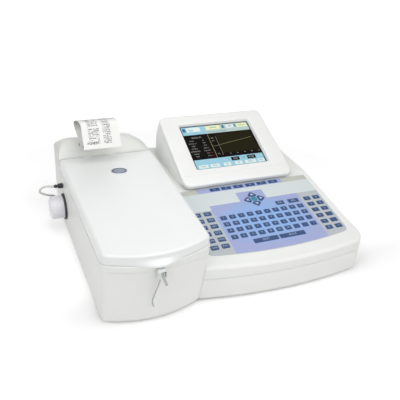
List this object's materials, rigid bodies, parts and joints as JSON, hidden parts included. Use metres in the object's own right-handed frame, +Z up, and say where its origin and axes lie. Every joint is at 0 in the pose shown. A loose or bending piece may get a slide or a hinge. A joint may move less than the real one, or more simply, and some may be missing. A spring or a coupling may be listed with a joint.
{
  "type": "biochemistry analyzer",
  "caption": "Semi-automatic bench analyzer with a lidded optics tower, roll printer, peristaltic pump, front sipper, membrane keypad console and tilted display",
  "frame": {"origin": "middle of the overall box, at the underside of the feet", "axes": "+X to the operator's right, +Y to the back, +Z up; the keypad's front edge faces -Y"},
  "size_m": [0.4016, 0.331, 0.1571],
  "materials": {
    "housing": "fine moulded texture, warm white",
    "lid": "satin smooth, cool white",
    "deck": "fine moulded texture, light grey",
    "bezel": "satin smooth, white",
    "dark": "fine moulded texture, black",
    "rubber": "matte, black",
    "metal": "milled or plain sheet",
    "steel": "bright drawn",
    "screen": "smooth, dark",
    "keypad": "printed membrane, soft satin",
    "badge": "satin grey-blue, blank",
    "paper": "matte thermal paper",
    "clear": "translucent, faint violet tint",
    "glass": "clear quartz",
    "board": "circuit board, green lacquer",
    "tubing": "clear soft tubing"
  },
  "bodies": {
    "housing": {"tower_housing": "housing", "inner_deck": "deck", "lid_hinge_pin_left": "steel", "lid_hinge_pin_right": "steel", "optics_base": "metal", "filter_motor": "metal", "flow_cell_block": "metal", "flow_cell": "glass", "detector_housing": "dark", "lens_barrel": "dark", "lamp_housing": "metal", "halogen_lamp": "glass", "printer_housing": "housing", "roll_cradle": "deck", "print_head": "metal", "paper_strip": "paper", "pump_ring": "dark", "pump_motor": "metal", "pump_tube": "tubing", "side_fitting": "dark", "sipper_holder": "housing", "sipper_paddle_pin": "steel", "sipper_tube": "tubing", "console_base": "housing", "console_top": "housing", "keypad_overlay": "keypad", "display_bezel": "bezel", "screen_panel": "screen", "display_hood": "housing", "rear_panel": "metal", "mains_inlet": "dark", "power_switch_frame": "dark", "serial_socket_left": "metal", "serial_socket_right": "metal", "fan_frame": "dark", "fan_guard": "steel", "main_board": "board", "power_supply": "metal", "foot_1": "rubber", "foot_2": "rubber", "foot_3": "rubber", "foot_4": "rubber", "foot_5": "rubber"},
    "lid": {"lid": "lid", "lid_badge": "badge"},
    "roll_cover": {"roll_cover": "housing"},
    "filter_wheel": {"filter_wheel": "dark"},
    "paper_roll": {"paper_roll": "paper", "paper_spindle": "deck"},
    "platen": {"platen_roller": "rubber"},
    "pump_rotor": {"pump_rotor": "deck"},
    "pump_roller_1": {"pump_roller_1": "steel"},
    "pump_roller_2": {"pump_roller_2": "steel"},
    "pump_roller_3": {"pump_roller_3": "steel"},
    "pump_cover": {"pump_cover": "clear"},
    "sipper_paddle": {"sipper_paddle": "deck"},
    "power_rocker": {"power_rocker": "dark"},
    "fan_rotor": {"fan_rotor": "dark"}
  },
  "joints": [
    {"name": "lid_hinge", "type": "hinge", "parent": "housing", "child": "lid", "pos_m": [-0.10068, 0.11396, 0.098], "axis": [-1, 0, 0], "range_deg": [0, 80], "deforming": ["paper_strip"]},
    {"name": "roll_cover_hinge", "type": "hinge", "parent": "housing", "child": "roll_cover", "pos_m": [-0.10768, 0.15676, 0.10798], "axis": [-1, 0, 0], "range_deg": [0, 90]},
    {"name": "filter_wheel_spin", "type": "hinge", "parent": "housing", "child": "filter_wheel", "pos_m": [-0.11568, 0.02576, 0.057], "axis": [0, 1, 0], "continuous": true},
    {"name": "paper_roll_spin", "type": "hinge", "parent": "housing", "child": "paper_roll", "pos_m": [-0.11068, 0.14576, 0.09], "axis": [1, 0, 0], "continuous": true},
    {"name": "platen_spin", "type": "hinge", "parent": "housing", "child": "platen", "pos_m": [-0.11068, 0.12716, 0.096], "axis": [1, 0, 0], "continuous": true},
    {"name": "pump_rotor_spin", "type": "hinge", "parent": "housing", "child": "pump_rotor", "pos_m": [-0.17768, 0.08376, 0.039], "axis": [1, 0, 0], "continuous": true},
    {"name": "pump_roller_1_spin", "type": "hinge", "parent": "pump_rotor", "child": "pump_roller_1", "pos_m": [-0.17768, 0.08376, 0.0474], "axis": [1, 0, 0], "continuous": true},
    {"name": "pump_roller_2_spin", "type": "hinge", "parent": "pump_rotor", "child": "pump_roller_2", "pos_m": [-0.17768, 0.07648, 0.0348], "axis": [1, 0, 0], "continuous": true},
    {"name": "pump_roller_3_spin", "type": "hinge", "parent": "pump_rotor", "child": "pump_roller_3", "pos_m": [-0.17768, 0.09103, 0.0348], "axis": [1, 0, 0], "continuous": true},
    {"name": "pump_cover_pull", "type": "slide", "parent": "housing", "child": "pump_cover", "axis": [-1, 0, 0], "range_m": [0, 0.03]},
    {"name": "sipper_paddle_press", "type": "hinge", "parent": "housing", "child": "sipper_paddle", "pos_m": [-0.10368, -0.16223, 0.07662], "axis": [1, 0, 0], "range_deg": [0, 9], "stiffness_Nm_per_rad": 0.004},
    {"name": "power_rocker_press", "type": "hinge", "parent": "housing", "child": "power_rocker", "pos_m": [0.07132, 0.15796, 0.057], "axis": [-1, 0, 0], "range_deg": [0, 22]},
    {"name": "fan_spin", "type": "hinge", "parent": "housing", "child": "fan_rotor", "pos_m": [-0.09268, 0.15376, 0.034], "axis": [0, 1, 0], "continuous": true}
  ],
  "couplings": [
    {"joint": "platen_spin", "follows": "paper_roll_spin", "ratio": -2.9545},
    {"joint": "pump_roller_1_spin", "follows": "pump_rotor_spin", "ratio": -3.8966},
    {"joint": "pump_roller_2_spin", "follows": "pump_rotor_spin", "ratio": -3.8966},
    {"joint": "pump_roller_3_spin", "follows": "pump_rotor_spin", "ratio": -3.8966}
  ]
}
